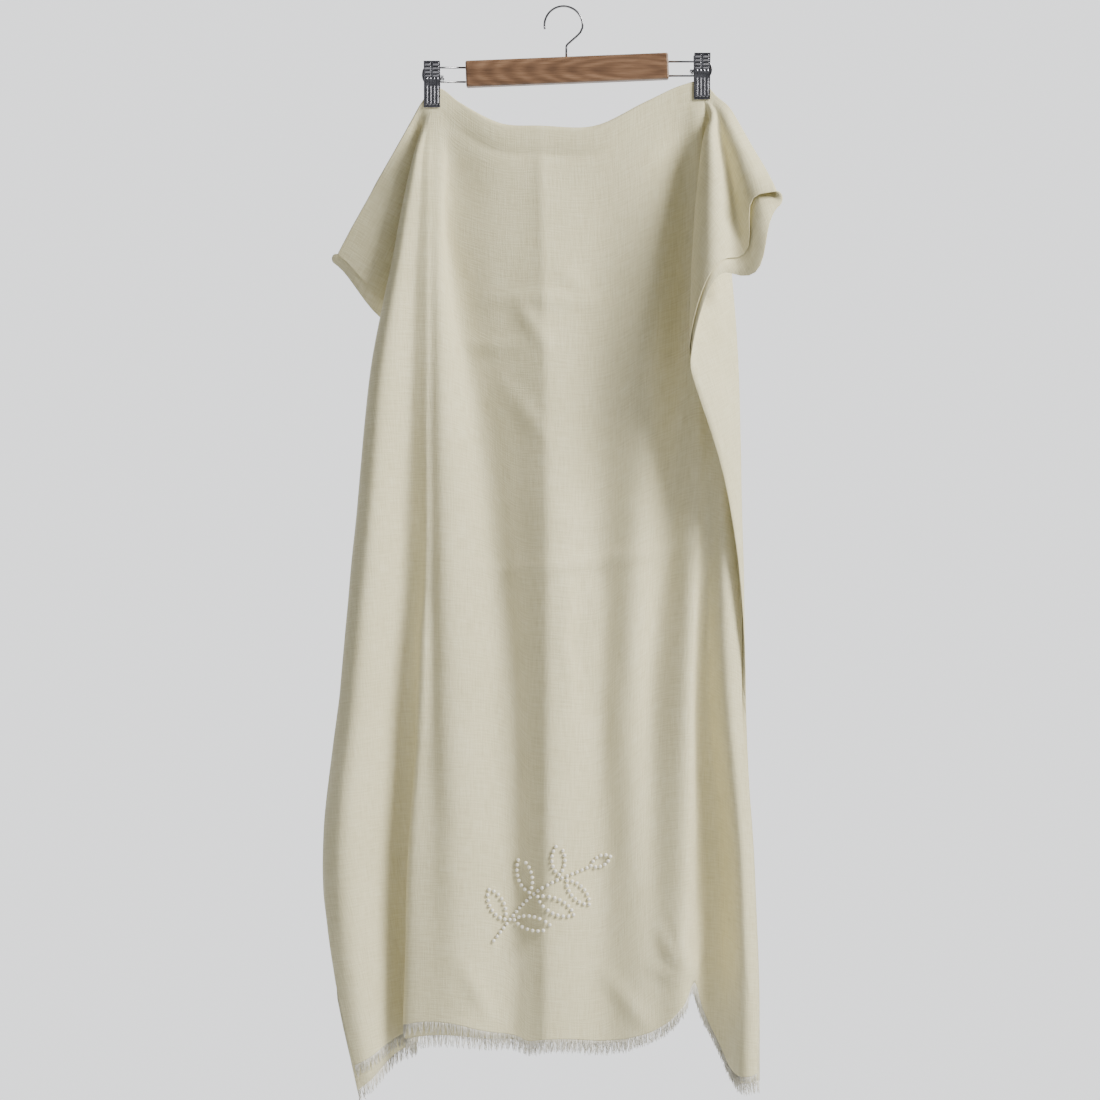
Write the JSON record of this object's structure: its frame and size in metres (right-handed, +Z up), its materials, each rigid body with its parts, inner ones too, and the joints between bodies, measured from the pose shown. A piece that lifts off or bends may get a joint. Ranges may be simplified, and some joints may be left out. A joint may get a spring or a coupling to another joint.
{
  "type": "evening stole on a clip hanger",
  "caption": "Cream fringed evening stole folded over and held by the clips of a wooden hanger, with draped wings at both sides.",
  "frame": {"origin": "the seat of the hook, where the inside of its arc rests on a rail", "axes": "+Z up along the hang of the cloth, +X to the right seen from the front, -Y towards the front"},
  "size_m": [0.4812, 0.1326, 1.1786],
  "materials": {
    "cream_wool": "soft matt sheen, fine plain weave",
    "fringe_thread": "loose fine threads",
    "bar_wood": "satin varnish",
    "bright_steel": "bright plated wire",
    "clip_steel": "dark plated sheet"
  },
  "bodies": {
    "root": {"stole_cloth": "cream_wool", "fringe_front": "fringe_thread", "fringe_back": "fringe_thread", "hanger_bar": "bar_wood", "hanger_hook": "bright_steel", "clip_rail_left": "bright_steel", "clip_rail_right": "bright_steel", "clip_left_spring": "bright_steel", "clip_right_spring": "bright_steel", "clip_left_front": "clip_steel", "clip_left_back": "clip_steel", "clip_right_front": "clip_steel", "clip_right_back": "clip_steel"}
  },
  "joints": []
}
